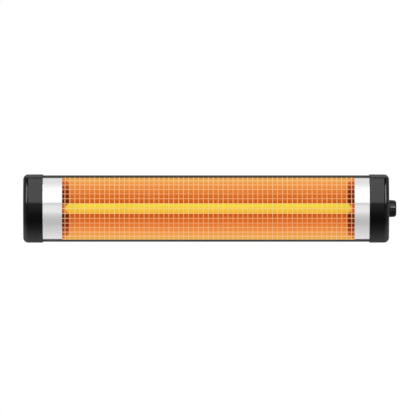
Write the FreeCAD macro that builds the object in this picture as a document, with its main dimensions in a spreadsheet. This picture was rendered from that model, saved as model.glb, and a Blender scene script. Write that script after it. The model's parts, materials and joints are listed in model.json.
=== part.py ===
# Wall-hung infrared heater: a long steel housing with a crowned wire grille, one quartz tube in a
# parabolic reflector, two moulded end caps and a rotary control on the right-hand cap.
# Frame: +X to the right seen from the front, the front looks along -Y, +Z is up, millimetres.
# The origin is on the flat back, midway between the two wall-fixing nuts.
import FreeCAD, Part
import math
import os

import Sketcher

Vector = FreeCAD.Vector
doc = FreeCAD.newDocument("infrared_heater")

# Driving sizes: name, value in mm (angles in degrees), meaning
DIMENSIONS = [
    ("body_span", 787, "visible body length between the two cap rims"),
    ("body_height", 160, "housing height"),
    ("body_depth", 74, "flat back to the front of the housing lips"),
    ("front_bulge", 27, "how far the crowned front stands beyond the lips"),
    ("top_flat", 36, "depth of the level top and bottom walls"),
    ("rear_height", 96, "height of the flat back"),
    ("housing_wall", 1.5, "housing sheet"),
    ("bend_radius", 12, "outside radius of the rear bends"),
    ("lip_height", 5, "lips that frame the front opening"),
    ("lip_bend", 2.5, "outside radius of the lip bend"),
    ("seat_gap", 0.3, "fitting gap between nested pieces"),
    ("slot_gap", 0.1, "fitting gap in the slot behind the lips"),
    ("hole_slack", 0.1, "hole over its screw, nut or shaft"),
    ("weld_gap", 0.05, "between the two layers of the grille"),
    ("left_band", 46.5, "visible width of the left polished band"),
    ("right_band", 36, "visible width of the right polished band"),
    ("band_wall", 0.8, "polished band sheet"),
    ("wire_diameter", 1.4, "grille wire"),
    ("mesh_pitch", 11.9, "grille mesh"),
    ("wire_tuck", 10, "long wires reach this far under each band"),
    ("wire_bend", 4, "bend of a cross wire where it tucks behind a lip"),
    ("cap_length", 47.5, "end cap, rim to end face"),
    ("cap_overlap", 14, "housing length inside each cap"),
    ("cap_wall", 2, "end cap moulding wall"),
    ("cap_nose", 3, "cap shoulder in front of the housing lips"),
    ("cap_round", 12.5, "radius between cap side and end face"),
    ("reflector_vertex", 25, "flat back to the bottom of the reflector"),
    ("reflector_flange", 4.7, "flat flange of the reflector behind each lip"),
    ("reflector_wall", 0.8, "reflector sheet"),
    ("reflector_end_gap", 0.2, "gap between the reflector and each bulkhead"),
    ("end_inset", 0.9, "reflector ends behind the reflector's flanges"),
    ("end_strip", 5, "front strip of a reflector end"),
    ("end_lean", 11.5, "how far a reflector end leans in behind its strip"),
    ("end_ramp", 12, "depth of the leaning part of a reflector end"),
    ("end_lip", 10, "lip that welds a reflector end to its bulkhead"),
    ("end_lip_height", 100, "lip that welds a reflector end to its bulkhead"),
    ("plate_wall", 1.2, "bulkhead sheet"),
    ("plate_inset", 1, "bulkhead face behind the edge of the band"),
    ("foot_length", 15, "rear foot of a bulkhead"),
    ("tube_slack", 1, "bulkhead hole over the tube"),
    ("plate_screw_level", 20, "bulkhead foot screws above and below the middle"),
    ("clamp_screw_level", 25, "socket clamp screws above and below the tube"),
    ("clamp_thickness", 6.3, "socket clamp"),
    ("clamp_margin", 6, "socket clamp round its flange and screws"),
    ("clamp_corner", 5, "corner radius of the socket clamp"),
    ("socket_diameter", 30, "ceramic socket barrel"),
    ("socket_length", 24, "ceramic socket"),
    ("socket_flange", 5, "flange of the ceramic socket"),
    ("socket_rim", 2.5, "flange beyond the socket barrel"),
    ("pin_diameter", 4, "terminal pin"),
    ("pin_reach", 31, "terminal pin beyond the outer face of a bulkhead"),
    ("disc_thickness", 3, "terminal disc and collar"),
    ("cap_screw_level", 30, "end cap screws above and below the middle"),
    ("screw_diameter", 3.5, "screw shank"),
    ("screw_head", 2.2, "screw head height"),
    ("screw_tip", 4, "screw beyond what it holds"),
    ("drive_span", 4, "cross recess of a screw"),
    ("drive_width", 1, "cross recess of a screw"),
    ("drive_depth", 1.2, "cross recess of a screw"),
    ("vent_length", 40, "rear vent slot"),
    ("vent_width", 5, "rear vent slot"),
    ("vent_count", 12, "vent slots in each row"),
    ("vent_margin", 60, "plain housing beyond each row of vents"),
    ("tube_diameter", 23, "quartz tube outside diameter"),
    ("tube_wall", 1.5, "quartz tube wall"),
    ("tube_reach", 15, "tube length inside each socket"),
    ("disc_inset", 2, "terminal disc beyond the outer face of a bulkhead"),
    ("coil_wire", 1.2, "heating wire"),
    ("coil_gap", 0.6, "coil to the inside of the tube"),
    ("coil_turns", 90, "turns of the heating coil"),
    ("knob_diameter", 41.5, "control knob"),
    ("knob_height", 17, "control knob along its axis"),
    ("knob_depth", 50, "flat back to the knob axis"),
    ("spindle_diameter", 6, "control spindle"),
    ("bush_diameter", 9.5, "threaded bush of the control"),
    ("lead_diameter", 3, "insulated inner lead"),
    ("lead_depth", 12, "flat back to the long lead"),
    ("lead_level", 25, "long lead above the middle"),
    ("lead_turn", 14, "long lead beyond its terminal pin"),
    ("element_turn", 9, "short element lead beyond its terminal pin"),
    ("cutout_turn", 13, "cut-out lead beyond its blade tab"),
    ("block_entry", 4, "leads from the middle of the terminal block"),
    ("grommet_groove", 8.8, "grommet diameter inside its hole"),
    ("grommet_rim", 2, "grommet beyond its hole"),
    ("grommet_flange", 1.5, "grommet each side of the bulkhead"),
    ("mount_spacing", 200, "distance between the wall-fixing nuts"),
    ("mount_bore", 5, "core hole of an M6 wall-fixing nut"),
    ("nut_shank", 8.7, "wall-fixing nut inside the housing sheet"),
    ("nut_length", 6, "wall-fixing nut behind the housing sheet"),
    ("nut_flange", 3, "wall-fixing nut wider than its shank"),
    ("clip_spacing", 260, "reflector clips along the heater"),
    ("clip_width", 24, "reflector clip"),
    ("clip_length", 14, "reflector clip along the housing wall"),
    ("clip_wall", 1, "reflector clip sheet"),
    ("cutout_depth", 26, "flat back to the thermal cut-out"),
    ("cutout_level", 45, "thermal cut-out below the middle"),
    ("cutout_length", 20, "thermal cut-out with its tabs"),
    ("cutout_diameter", 16, "thermal cut-out"),
    ("cutout_flange", 1.2, "thermal cut-out flange"),
    ("tab_length", 8, "blade tabs"),
    ("tab_thickness", 0.8, "blade tabs"),
    ("tab_spacing", 10, "blade tabs"),
    ("tab_width", 6.3, "blade tabs"),
    ("tab_offset", 12, "control tabs behind the knob axis"),
    ("block_length", 24, "terminal block"),
    ("block_height", 30, "terminal block"),
    ("block_depth", 14, "terminal block"),
    ("block_gap", 2, "bulkhead foot to terminal block"),
    ("block_round", 1.5, "terminal block edge"),
    ("well_diameter", 4.5, "terminal block screw well"),
    ("well_depth", 6, "terminal block screw well"),
    ("control_width", 38, "energy control case"),
    ("control_length", 24, "energy control case"),
    ("control_round", 3, "edges of the energy control case"),
    ("control_nut_flats", 14, "bush nut across flats"),
    ("nut_thickness", 3, "bush nut and gland nut"),
    ("knob_gap", 0.5, "gap between knob and cap"),
    ("knob_hollow", 24, "hollow under the knob"),
    ("knob_recess", 6, "depth of the hollow under the knob"),
    ("knob_crown", 4, "solid top of the knob"),
    ("knob_taper", 0.8, "knob radius lost towards its top"),
    ("knob_round", 3, "top edge of the knob"),
    ("scallop_count", 10, "finger scallops round the knob"),
    ("scallop_radius", 7.5, "finger scallop"),
    ("scallop_depth", 1, "finger scallop"),
    ("scallop_start", 3, "knob base to the scallops"),
    ("pointer_angle", 10, "pointer above the level at rest"),
    ("pointer_start", 4, "knob base to pointer"),
    ("pointer_length", 9, "pointer along the knob"),
    ("pointer_width", 2.6, "pointer"),
    ("pointer_inset", 1.8, "pointer slot depth"),
    ("gland_length", 10, "gland outside the cap"),
    ("gland_flange", 3, "gland flange, thickness and overhang"),
    ("gland_dome", 2.5, "rounded mouth of the gland"),
    ("gland_nut_flats", 17, "gland nut across flats"),
    ("gland_bore", 8.5, "cable passage of the gland"),
    ("gland_thread", 12, "threaded stub of the gland"),
    ("gland_level", 30, "gland below the middle"),
]

# Sizes worked out from the driving sizes
DERIVED = [
    ("half_span", "Dims.body_span / 2"),
    ("half_height", "Dims.body_height / 2"),
    ("apex", "Dims.body_depth + Dims.front_bulge"),
    ("opening_half", "half_height - Dims.lip_height"),
    ("lip_back", "Dims.body_depth - Dims.housing_wall"),
    ("crown_rise", "apex - lip_back"),
    ("crown_half", "opening_half - Dims.seat_gap"),
    ("front_radius", "(crown_half * crown_half + crown_rise * crown_rise) / (2 * crown_rise)"),
    ("front_centre", "front_radius - apex"),
    ("window_left", "Dims.left_band - half_span"),
    ("window_right", "half_span - Dims.right_band"),
    ("window_centre", "(window_left + window_right) / 2"),
    ("window_length", "window_right - window_left"),
    ("long_radius", "front_radius - Dims.band_wall - Dims.seat_gap - Dims.wire_diameter / 2"),
    ("cross_radius", "long_radius - Dims.wire_diameter - Dims.weld_gap"),
    ("plate_radius", "long_radius - Dims.wire_diameter / 2 - Dims.seat_gap"),
    ("pitch_angle", "Dims.mesh_pitch / long_radius * 180 / pi"),
    ("crown_angle", "asin((opening_half - 2 * Dims.wire_diameter) / long_radius) / 1 deg"),
    ("long_half_count", "floor(crown_angle / pitch_angle)"),
    ("cross_count", "floor((window_length - 4 * Dims.wire_diameter) / Dims.mesh_pitch) + 1"),
    ("wire_plane", "lip_back - Dims.slot_gap - Dims.wire_diameter / 2"),
    ("flange_front", "lip_back - 2 * Dims.slot_gap - Dims.wire_diameter"),
    ("inner_half", "half_height - Dims.housing_wall"),
    ("flange_tip", "inner_half - Dims.reflector_wall"),
    ("trough_half", "flange_tip - Dims.reflector_flange"),
    ("trough_focus", "trough_half ^ 2 / (4 * (flange_front - Dims.reflector_vertex))"),
    ("tube_axis", "Dims.reflector_vertex + trough_focus"),
    ("end_front", "flange_front - Dims.end_inset"),
    ("end_back", "end_front - Dims.reflector_wall"),
    ("end_slant", "sqrt(Dims.end_lean ^ 2 + Dims.end_ramp ^ 2)"),
    ("end_front_fold", "Dims.reflector_wall * Dims.end_ramp / (end_slant + Dims.end_lean)"),
    ("end_rear_fold", "Dims.reflector_wall * Dims.end_lean / (end_slant + Dims.end_ramp)"),
    ("end_foot", "Dims.end_strip + Dims.end_lean"),
    ("slant_run", "Dims.body_depth - Dims.top_flat"),
    ("slant_rise", "half_height - Dims.rear_height / 2"),
    ("slant_length", "sqrt(slant_run * slant_run + slant_rise * slant_rise)"),
    ("plate_left", "window_left - Dims.plate_inset"),
    ("plate_right", "window_right + Dims.plate_inset"),
    ("socket_left", "plate_left - Dims.plate_wall"),
    ("socket_right", "plate_right + Dims.plate_wall"),
    ("cap_end", "half_span + Dims.cap_length"),
    ("cap_offset", "Dims.seat_gap + Dims.cap_wall"),
    ("cap_half", "half_height + cap_offset"),
    ("cap_shoulder", "Dims.body_depth + Dims.cap_nose"),
    ("cap_sag", "apex + cap_offset - cap_shoulder"),
    ("cap_radius", "(cap_half * cap_half + cap_sag * cap_sag) / (2 * cap_sag)"),
    ("cap_screw_x", "half_span + Dims.cap_overlap / 2"),
    ("gland_x", "cap_end - Dims.cap_length / 2"),
    ("plate_screw_left", "plate_left - Dims.foot_length * 0.6"),
    ("plate_screw_right", "plate_right + Dims.foot_length * 0.6"),
    ("plate_gap", "Dims.housing_wall + Dims.seat_gap"),
    ("plate_shoulder", "lip_back - 3 * Dims.slot_gap - Dims.band_wall"),
    ("plate_edge_half", "sqrt(plate_radius ^ 2 - (plate_shoulder + front_centre) ^ 2)"),
    ("fold_front", "lip_back - Dims.slot_gap"),
    ("fold_back", "fold_front - Dims.band_wall"),
    ("band_inner", "front_radius - Dims.band_wall"),
    ("band_outer_half", "sqrt(front_radius ^ 2 - (fold_front + front_centre) ^ 2)"),
    ("band_inner_half", "sqrt(band_inner ^ 2 - (fold_back + front_centre) ^ 2)"),
    ("cap_slant_y", "cap_offset * (slant_length - slant_run) / slant_rise - slant_run"),
    ("cap_rear_z", "Dims.rear_height / 2 + cap_offset * (slant_length - slant_rise) / slant_run"),
    ("plate_slant_y", "-slant_run - plate_gap * (slant_length - slant_run) / slant_rise"),
    ("plate_rear_z", "Dims.rear_height / 2 - plate_gap * (slant_length - slant_rise) / slant_run"),
    ("vent_run", "Dims.body_span - 2 * Dims.vent_margin - Dims.vent_length"),
    ("vent_level", "(half_height + Dims.rear_height / 2) / 2"),
    ("tuck_tip", "half_height - Dims.lip_bend - Dims.slot_gap"),
    ("bend_reach", "cross_radius + Dims.wire_bend"),
    ("bend_drop", "wire_plane + Dims.wire_bend + front_centre"),
    ("bend_half", "sqrt(bend_reach ^ 2 - bend_drop ^ 2)"),
    ("crown_edge", "cross_radius * bend_drop / bend_reach - front_centre"),
    ("crown_edge_half", "cross_radius * bend_half / bend_reach"),
    ("disc_left", "socket_left - Dims.disc_inset"),
    ("disc_right", "socket_right + Dims.disc_inset"),
    ("block_x", "socket_right + Dims.foot_length + Dims.block_length / 2 + Dims.block_gap"),
    ("control_tabs", "cap_end - Dims.cap_wall - Dims.control_length - Dims.tab_length"),
    ("spindle_reach", "Dims.knob_recess + Dims.knob_gap + Dims.cap_wall + Dims.control_length * 0.6"),
    ("coil_radius", "Dims.tube_diameter / 2 - Dims.tube_wall - Dims.coil_gap - Dims.coil_wire / 2"),
]

SIDES = (("left", -1), ("right", 1))
# Lengths that differ by less than this count as equal
CLOSE = 1e-3
# An edge runs along X where its direction has at least this much of X
ALONG = 0.99


def make_sheet():
    """Write the driving sizes into the sheet and bind the worked-out sizes to them."""
    sizes = doc.addObject("Spreadsheet::Sheet", "Dims")
    for row, (name, size, meaning) in enumerate(DIMENSIONS, 1):
        sizes.set(f"A{row}", meaning)
        sizes.set(f"B{row}", str(size))
        sizes.setAlias(f"B{row}", name)
    doc.recompute()
    worked_out = doc.addObject("App::VarSet", "Derived")
    for name, expression in DERIVED:
        worked_out.addProperty("App::PropertyFloat", name)
        worked_out.setExpression(name, expression)
    doc.recompute()
    return sizes


sheet = make_sheet()
subparts = {}


def value(expression):
    """The number that an expression on the sheet gives now."""
    result = sheet.evalExpression(str(expression))
    return float(getattr(result, "Value", result))


def keep(label, item):
    """Name a finished sub-part and list it for writing."""
    item.Label = label
    subparts[label] = item
    doc.recompute()
    return item


def place(item, x="0", y="0", z="0"):
    """Bind the place of an object to expressions."""
    for axis, expression in zip("xyz", (x, y, z)):
        item.setExpression(f"Placement.Base.{axis}", expression)


def new_body(name):
    body = doc.addObject("PartDesign::Body", name)
    body.AllowCompound = True
    return body


def origin_feature(body, role):
    return next(item for item in body.Origin.OriginFeatures if item.Role == role)


def new_sketch(body, role, offset="0"):
    """Sketch on one of the body's own origin planes, moved along its normal."""
    sketch = body.newObject("Sketcher::SketchObject", body.Name + "_sketch")
    sketch.AttachmentSupport = [(origin_feature(body, role), "")]
    sketch.MapMode = "FlatFace"
    sketch.setExpression("AttachmentOffset.Base.z", offset)
    return sketch


def bind(sketch, kind, place_on_sketch, expression):
    """Add one driven constraint."""
    constraint = Sketcher.Constraint(kind, *place_on_sketch, value(expression))
    index = sketch.addConstraint(constraint)
    sketch.setExpression(f"Constraints[{index}]", expression)


def arc_middle(start, finish, radius, bulge):
    """Middle of an arc under half a circle; bulge is 1 to the left of its chord, -1 to the right."""
    chord = finish - start
    left = Vector(-chord.y, chord.x, 0).normalize()
    height = radius - math.sqrt(max(radius * radius - chord.Length ** 2 / 4, 0))
    return (start + finish) * 0.5 + left * (bulge * height)


def add_outline(sketch, points, arcs=None, closed=True):
    """Outline through the points; arcs gives a side's number its radius and the side it bulges to."""
    arcs = arcs or {}
    corners = [Vector(value(u), value(v), 0) for u, v in points]
    ends = []
    for number in range(len(corners) if closed else len(corners) - 1):
        start = corners[number]
        finish = corners[(number + 1) % len(corners)]
        curve = Part.LineSegment(start, finish)
        if number in arcs:
            radius, bulge = arcs[number]
            curve = Part.Arc(start, arc_middle(start, finish, value(radius), bulge), finish)
        index = sketch.addGeometry(curve, False)
        forward = sketch.getPoint(index, 1).distanceToPoint(start) < CLOSE
        ends.append((index, 1, 2) if forward else (index, 2, 1))
    for number, (index, first, last) in enumerate(ends):
        bind(sketch, "DistanceX", (index, first), points[number][0])
        bind(sketch, "DistanceY", (index, first), points[number][1])
        if number in arcs:
            bind(sketch, "Radius", (index,), arcs[number][0])
        if closed or number + 1 < len(ends):
            following, following_first, _ = ends[(number + 1) % len(ends)]
            join = Sketcher.Constraint("Coincident", index, last, following, following_first)
            sketch.addConstraint(join)
        else:
            bind(sketch, "DistanceX", (index, last), points[-1][0])
            bind(sketch, "DistanceY", (index, last), points[-1][1])


def add_rectangle(sketch, left, low, right, high):
    add_outline(sketch, [(left, low), (right, low), (right, high), (left, high)])


def add_circle(sketch, u, v, diameter):
    centre = Vector(value(u), value(v), 0)
    index = sketch.addGeometry(Part.Circle(centre, Vector(0, 0, 1), value(diameter) / 2), False)
    bind(sketch, "DistanceX", (index, 3), u)
    bind(sketch, "DistanceY", (index, 3), v)
    bind(sketch, "Diameter", (index,), diameter)


def pad(body, sketch, length, backwards=False, both_ways=False):
    feature = body.newObject("PartDesign::Pad", body.Name + "_pad")
    feature.Profile = sketch
    feature.setExpression("Length", length)
    feature.Reversed = backwards
    feature.Midplane = both_ways
    doc.recompute()
    return feature


def pocket(body, sketch, length=None):
    """Cut to both sides of the sketch, by a length or through everything, and prove that it cut."""
    before = body.Tip.Shape.Volume
    feature = body.newObject("PartDesign::Pocket", body.Name + "_pocket")
    feature.Profile = sketch
    feature.Midplane = True
    if length is None:
        feature.Type = "ThroughAll"
    else:
        feature.setExpression("Length", length)
    doc.recompute()
    if feature.Shape.Volume > before - CLOSE:
        raise RuntimeError(f"{body.Name}: a pocket cut nothing")
    return feature


def round_edges(body, test, radius):
    """Fillet the edges of the body's tip that pass the test."""
    base = body.Tip
    names = [f"Edge{number}" for number, edge in enumerate(base.Shape.Edges, 1) if test(edge)]
    feature = body.newObject("PartDesign::Fillet", body.Name + "_round")
    feature.Base = (base, names)
    feature.setExpression("Radius", radius)
    doc.recompute()
    return feature


def shell(body, test, wall):
    """Hollow the body's tip to a wall, open at the faces that pass the test."""
    base = body.Tip
    names = [f"Face{number}" for number, face in enumerate(base.Shape.Faces, 1) if test(face)]
    feature = body.newObject("PartDesign::Thickness", body.Name + "_shell")
    feature.Base = (base, names)
    feature.setExpression("Value", wall)
    feature.Reversed = True
    doc.recompute()
    return feature


def turned(name, profile, arcs=None):
    """Body turned about its own X axis from a profile of (along, radius) points."""
    body = new_body(name)
    sketch = new_sketch(body, "XY_Plane")
    add_outline(sketch, profile, arcs)
    feature = body.newObject("PartDesign::Revolution", name + "_turn")
    feature.Profile = sketch
    feature.ReferenceAxis = (sketch, ["H_Axis"])
    feature.Angle = 360
    doc.recompute()
    return body


def pattern(body, kind, direction, count):
    """Repeat the body's tip; the caller sets the spacing."""
    feature = body.newObject("PartDesign::" + kind, body.Name + "_pattern")
    feature.Originals = [body.Tip]
    if kind == "LinearPattern":
        feature.Direction = direction
    else:
        feature.Axis = direction
    feature.setExpression("Occurrences", count)
    body.Tip = feature
    return feature


def runs_along_x(edge):
    return abs(edge.tangentAt(edge.FirstParameter).x) > ALONG


def near(number, expression):
    return abs(number - value(expression)) < CLOSE


def edge_at(y, z):
    """Test for a long edge at a place given by expressions, above or below the middle."""
    def test(edge):
        point = edge.CenterOfMass
        return runs_along_x(edge) and near(point.y, y) and near(abs(point.z), z)
    return test


def make_housing():
    """Folded steel housing, open at both ends, with lips round the front opening and rear vents."""
    body = new_body("rear_housing")
    outline = new_sketch(body, "YZ_Plane")
    half_rear = "Dims.rear_height / 2"
    add_outline(outline, [
        ("-Dims.body_depth", "-Derived.half_height"),
        ("-Derived.slant_run", "-Derived.half_height"),
        ("0", "-" + half_rear),
        ("0", half_rear),
        ("-Derived.slant_run", "Derived.half_height"),
        ("-Dims.body_depth", "Derived.half_height"),
    ])
    pad(body, outline, "Dims.body_span + 2 * Dims.cap_overlap", both_ways=True)
    at_bend = edge_at("-Derived.slant_run", "Derived.half_height")
    at_rear = edge_at("0", half_rear)
    round_edges(body, lambda edge: at_bend(edge) or at_rear(edge), "Dims.bend_radius")
    round_edges(body, edge_at("-Dims.body_depth", "Derived.half_height"), "Dims.lip_bend")
    end = "Derived.half_span + Dims.cap_overlap"
    shell(body, lambda face: near(abs(face.CenterOfMass.x), end), "Dims.housing_wall")

    window = new_sketch(body, "YZ_Plane")
    add_rectangle(window, "-Dims.body_depth - Dims.housing_wall", "-Derived.opening_half",
                  "-Derived.lip_back + Dims.housing_wall", "Derived.opening_half")
    pocket(body, window)

    holes = new_sketch(body, "XZ_Plane")
    for sign in (-1, 1):
        add_circle(holes, f"{sign} * Dims.mount_spacing / 2", "0", "Dims.nut_shank + Dims.hole_slack")
        for level in (-1, 1):
            add_circle(holes, f"{sign} * Derived.cap_screw_x", f"{level} * Dims.cap_screw_level",
                       "Dims.screw_diameter + Dims.hole_slack")
            plate = "Derived.plate_screw_right" if sign > 0 else "Derived.plate_screw_left"
            add_circle(holes, plate, f"{level} * Dims.plate_screw_level",
                       "Dims.screw_diameter + Dims.hole_slack")
    pocket(body, holes)

    vents = new_sketch(body, "XZ_Plane")
    first = "-Derived.vent_run / 2"
    for level in (-1, 1):
        middle = f"{level} * Derived.vent_level"
        low = f"{middle} - Dims.vent_width / 2"
        high = f"{middle} + Dims.vent_width / 2"
        left = f"{first} - Dims.vent_length / 2"
        right = f"{first} + Dims.vent_length / 2"
        end_arc = ("0.52 * Dims.vent_width", -1)
        add_outline(vents, [(left, low), (right, low), (right, high), (left, high)],
                    {1: end_arc, 3: end_arc})
    pocket(body, vents)
    row = pattern(body, "LinearPattern", (vents, ["H_Axis"]), "Dims.vent_count")
    row.setExpression("Length", "Derived.vent_run")
    keep("rear_housing", body)


def make_end_cap(name, side):
    """Moulded cap over one end of the housing; the right one carries the control and the cable gland."""
    label = name + "_end_cap"
    body = new_body(label)
    outline = new_sketch(body, "YZ_Plane", f"{side} * Derived.half_span")
    shoulder = "-Derived.cap_shoulder"
    slant_y = "Derived.cap_slant_y"
    rear_z = "Derived.cap_rear_z"
    add_outline(outline, [
        (shoulder, "-Derived.cap_half"),
        (slant_y, "-Derived.cap_half"),
        ("Derived.cap_offset", "-" + rear_z),
        ("Derived.cap_offset", rear_z),
        (slant_y, "Derived.cap_half"),
        (shoulder, "Derived.cap_half"),
    ], {5: ("Derived.cap_radius", -1)})
    pad(body, outline, "Dims.cap_length", backwards=side < 0)
    round_edges(body, runs_along_x, "Dims.bend_radius + Derived.cap_offset")
    round_edges(body, lambda edge: near(edge.BoundBox.XMin, f"{side} * Derived.cap_end")
                and near(edge.BoundBox.XMax, f"{side} * Derived.cap_end"), "Dims.cap_round")
    shell(body, lambda face: near(face.CenterOfMass.x, f"{side} * Derived.half_span"), "Dims.cap_wall")

    rear_holes = new_sketch(body, "XZ_Plane", "-Derived.cap_offset")
    for level in (-1, 1):
        add_circle(rear_holes, f"{side} * Derived.cap_screw_x", f"{level} * Dims.cap_screw_level",
                   "Dims.screw_diameter + Dims.seat_gap")
    if side > 0:
        add_circle(rear_holes, "Derived.gland_x", "-Dims.gland_level", "Dims.gland_thread + Dims.seat_gap")
    pocket(body, rear_holes, "4 * Dims.cap_wall")
    if side > 0:
        control = new_sketch(body, "YZ_Plane", "Derived.cap_end")
        add_circle(control, "-Dims.knob_depth", "0", "Dims.bush_diameter + Dims.seat_gap")
        pocket(body, control, "4 * Dims.cap_wall")
    keep(label, body)


def make_trim_band(name, side):
    """Polished sheet between the grille window and one cap, its edges folded behind the lips."""
    label = name + "_trim_band"
    body = new_body(label)
    inner_edge = f"Derived.window_{name}"
    profile = new_sketch(body, "YZ_Plane", inner_edge)
    front = "-Derived.fold_front"
    back = "-Derived.fold_back"
    tip = "Derived.tuck_tip"
    add_outline(profile, [
        (front, "-Derived.band_outer_half"),
        (front, f"-{tip}"),
        (back, f"-{tip}"),
        (back, "-Derived.band_inner_half"),
        (back, "Derived.band_inner_half"),
        (back, tip),
        (front, tip),
        (front, "Derived.band_outer_half"),
    ], {3: ("Derived.band_inner", 1), 7: ("Derived.front_radius", -1)})
    pad(body, profile, f"Dims.{name}_band + Dims.cap_overlap", backwards=side < 0)
    keep(label, body)


def make_long_wires():
    """Straight outer layer of the grille: wires along the heater, spread round the crown."""
    body = new_body("grille_long_wires")
    place(body, y="Derived.front_centre")
    section = new_sketch(body, "YZ_Plane", "Derived.window_left - Dims.wire_tuck")
    spread = "Derived.long_half_count * Derived.pitch_angle"
    add_circle(section, f"-Derived.long_radius * cos({spread})", f"Derived.long_radius * sin({spread})",
               "Dims.wire_diameter")
    pad(body, section, "Derived.window_length + 2 * Dims.wire_tuck")
    rows = pattern(body, "PolarPattern", (section, ["N_Axis"]), "2 * Derived.long_half_count + 1")
    rows.setExpression("Angle", f"2 * {spread}")
    keep("grille_long_wires", body)


def make_cross_wires():
    """Curved inner layer of the grille: each wire follows the crown and tucks behind both lips."""
    body = new_body("grille_cross_wires")
    first = "Derived.window_centre - (Derived.cross_count - 1) * Dims.mesh_pitch / 2"
    route = new_sketch(body, "YZ_Plane", first)
    flat = "-Derived.wire_plane"
    bend = ("Dims.wire_bend", 1)
    add_outline(route, [
        (flat, "Derived.tuck_tip"),
        (flat, "Derived.bend_half"),
        ("-Derived.crown_edge", "Derived.crown_edge_half"),
        ("-Derived.crown_edge", "-Derived.crown_edge_half"),
        (flat, "-Derived.bend_half"),
        (flat, "-Derived.tuck_tip"),
    ], {1: bend, 2: ("Derived.cross_radius", -1), 3: bend}, closed=False)
    section = new_sketch(body, "XY_Plane", "Derived.tuck_tip")
    add_circle(section, first, flat, "Dims.wire_diameter")
    doc.recompute()
    wire = body.newObject("PartDesign::AdditivePipe", "cross_wire")
    wire.Profile = section
    wire.Spine = (route, [f"Edge{number}" for number in range(1, 6)])
    doc.recompute()
    row = pattern(body, "LinearPattern", (route, ["N_Axis"]), "Derived.cross_count")
    row.setExpression("Length", "(Derived.cross_count - 1) * Dims.mesh_pitch")
    keep("grille_cross_wires", body)


def make_bulkhead(name, side):
    """Sheet wall across one end of the lit trough, with a rear foot screwed to the housing."""
    label = name + "_bulkhead"
    body = new_body(label)
    inner_face = f"Derived.plate_{name}"
    outline = new_sketch(body, "YZ_Plane", inner_face)
    shoulder = "-Derived.plate_shoulder"
    top = "Derived.half_height - Derived.plate_gap"
    slant_y = "Derived.plate_slant_y"
    rear_z = "Derived.plate_rear_z"
    add_outline(outline, [
        (shoulder, "-Derived.plate_edge_half"),
        (shoulder, f"-({top})"),
        (slant_y, f"-({top})"),
        ("-Derived.plate_gap", "-" + rear_z),
        ("-Derived.plate_gap", rear_z),
        (slant_y, top),
        (shoulder, top),
        (shoulder, "Derived.plate_edge_half"),
    ], {7: ("Derived.plate_radius", -1)})
    pad(body, outline, "Dims.plate_wall", backwards=side < 0)
    at_bend = edge_at(slant_y, top)
    at_rear = edge_at("-Derived.plate_gap", rear_z)
    round_edges(body, lambda edge: at_bend(edge) or at_rear(edge), "Dims.bend_radius - Dims.housing_wall")
    round_edges(body, edge_at(shoulder, top), "Dims.lip_bend")

    foot = new_sketch(body, "YZ_Plane", inner_face)
    foot_half = "Dims.plate_screw_level + 2 * Dims.screw_diameter"
    add_rectangle(foot, "-Derived.plate_gap - Dims.plate_wall", f"-({foot_half})",
                  "-Derived.plate_gap", foot_half)
    pad(body, foot, "Dims.foot_length", backwards=side < 0)

    openings = new_sketch(body, "YZ_Plane", inner_face)
    add_circle(openings, "-Derived.tube_axis", "0", "Dims.tube_diameter + Dims.tube_slack")
    add_circle(openings, "-Dims.lead_depth", "Dims.lead_level", "Dims.grommet_groove + 2 * Dims.hole_slack")
    for level in (-1, 1):
        add_circle(openings, "-Derived.tube_axis", f"{level} * Dims.clamp_screw_level",
                   "Dims.screw_diameter + Dims.hole_slack")
    pocket(body, openings, "4 * Dims.plate_wall")
    foot_holes = new_sketch(body, "XZ_Plane")
    for level in (-1, 1):
        add_circle(foot_holes, f"Derived.plate_screw_{name}", f"{level} * Dims.plate_screw_level",
                   "Dims.screw_diameter + Dims.hole_slack")
    pocket(body, foot_holes)
    keep(label, body)


def parabola_point(level, behind):
    """Point of the reflector's section at a height, a distance behind its polished face."""
    focus = value("Derived.trough_focus")
    slope = level / (2 * focus)
    normal = Vector(0, 1, slope).normalize()
    return Vector(0, -value("Dims.reflector_vertex") - level * level / (4 * focus), level) + normal * behind


def trough_curve(reach, behind):
    """Curve of the reflector's section up to a height, a distance behind its polished face."""
    steps = 12
    levels = [reach * (2 * step / steps - 1) for step in range(steps + 1)]
    curve = Part.BSplineCurve()
    curve.interpolate([parabola_point(level, behind) for level in levels])
    return curve


def make_reflector():
    """Parabolic trough of thin sheet with flat flanges that sit behind the lips."""
    focus = value("Derived.trough_focus")
    wall = value("Dims.reflector_wall")
    front = -value("Derived.flange_front")
    half = value("Derived.trough_half")
    # The rear face of the trough ends where it meets the rear of the flange
    rear_half = half
    for _ in range(4):
        lean = wall / math.hypot(1, rear_half / (2 * focus))
        rear_half = math.sqrt(4 * focus * (lean - wall - front - value("Dims.reflector_vertex")))
    polished = trough_curve(half, 0)
    rear = trough_curve(rear_half, wall)
    tip = value("Derived.flange_tip")
    edges = [polished.toShape(), rear.toShape()]
    for sign, rear_end in ((1, rear.EndPoint), (-1, rear.StartPoint)):
        corners = [
            Vector(0, front, sign * half),
            Vector(0, front, sign * tip),
            Vector(0, front + wall, sign * tip),
            rear_end,
        ]
        edges += [Part.makeLine(near_end, far_end) for near_end, far_end in zip(corners, corners[1:])]
    section = Part.Face(Part.Wire(Part.__sortEdges__(edges)))
    length = value("Derived.plate_right - Derived.plate_left - 2 * Dims.reflector_end_gap")
    item = doc.addObject("Part::Feature", "reflector")
    item.Shape = section.extrude(Vector(length, 0, 0))
    place(item, x="Derived.plate_left + Dims.reflector_end_gap")
    keep("reflector", item)


def bent_sheet(outline, half_height):
    """Sheet bent along Z, from its edge-on outline of (x, y) expressions."""
    reach = value(half_height)
    corners = [Vector(value(x), value(y), -reach) for x, y in outline]
    return Part.Face(Part.makePolygon(corners + corners[:1])).extrude(Vector(0, 0, 2 * reach))


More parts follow.
